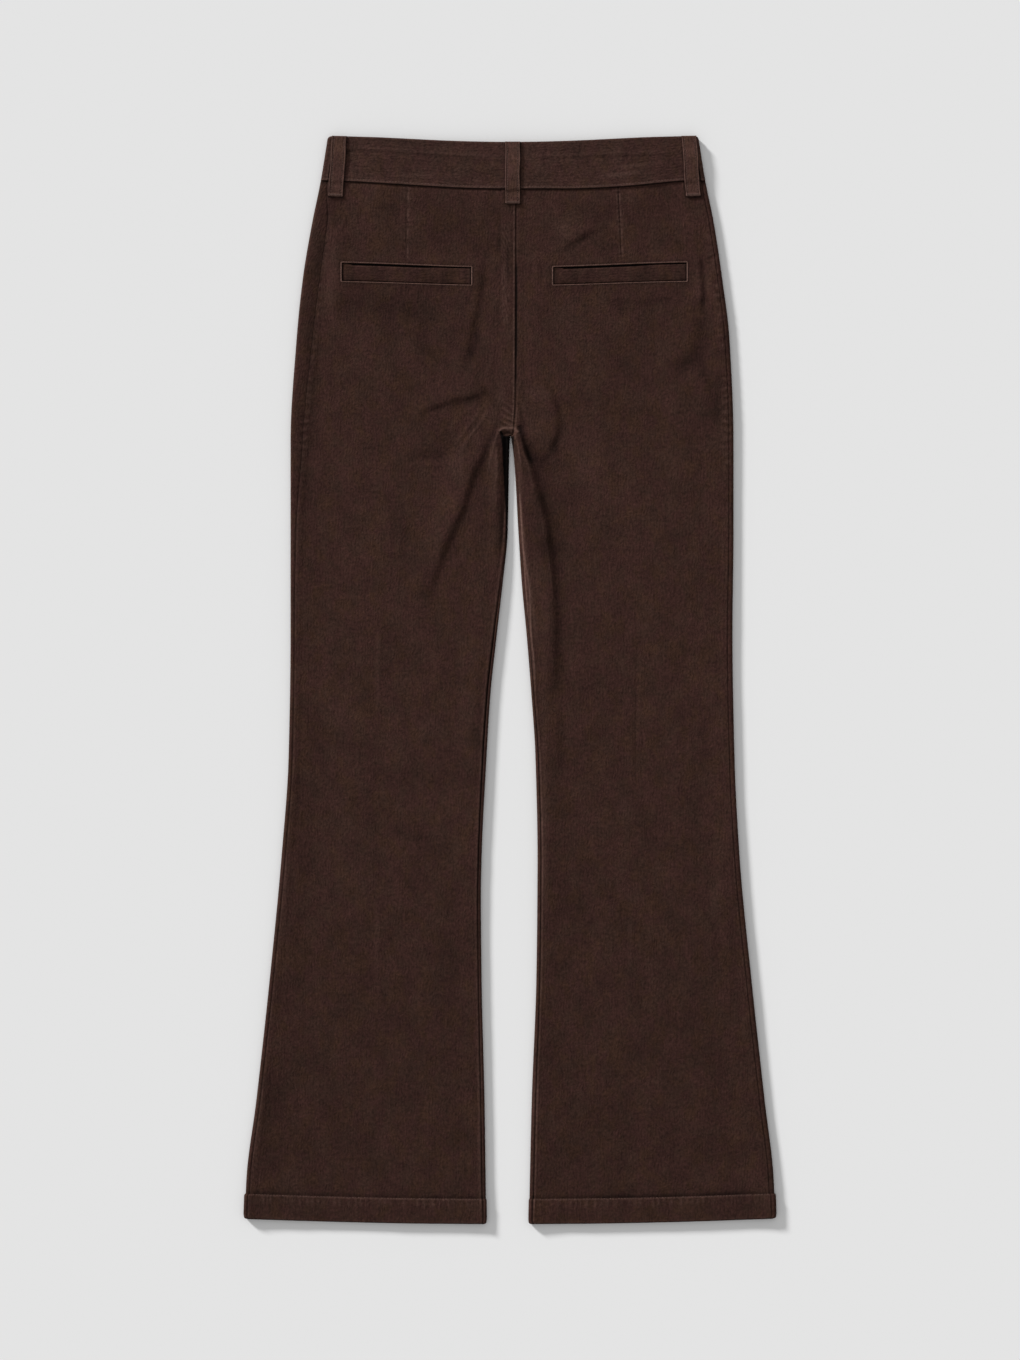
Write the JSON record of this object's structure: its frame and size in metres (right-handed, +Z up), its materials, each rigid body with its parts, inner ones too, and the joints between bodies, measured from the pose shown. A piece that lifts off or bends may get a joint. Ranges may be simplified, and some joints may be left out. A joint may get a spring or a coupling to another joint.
{
  "type": "flared needlecord trousers laid flat",
  "caption": "Flared needlecord trousers laid flat, back up, with welt pockets, belt loops, darts, a flat waistband and plain turned-up hems.",
  "frame": {"origin": "on the surface that the trousers lie on, below the middle of their box", "axes": "+Z up from the surface, +Y towards the waist, +X towards the wearer's right leg, which is the picture's right"},
  "size_m": [0.5248, 1.0699, 0.0115],
  "materials": {
    "needlecord": "fine upright ribs with a soft pile",
    "needlecord_band": "fine ribs running along the strip",
    "needlecord_loop": "fine ribs, edges stitched",
    "zip_tape": "woven tape with a nylon coil",
    "zip_metal": "brushed",
    "horn": "dark horn, satin"
  },
  "bodies": {
    "root": {"back_left": "needlecord", "back_right": "needlecord", "front_left": "needlecord", "front_right": "needlecord", "waistband_back": "needlecord_band", "waistband_front_left": "needlecord_band", "waistband_front_right": "needlecord_band", "loop_center": "needlecord_loop", "loop_left": "needlecord_loop", "loop_right": "needlecord_loop", "loop_front_left": "needlecord_loop", "loop_front_right": "needlecord_loop", "welt_left": "needlecord_band", "welt_right": "needlecord_band", "fly_shield": "needlecord", "zip": "zip_tape", "zip_slider": "zip_metal", "button": "horn"}
  },
  "joints": []
}
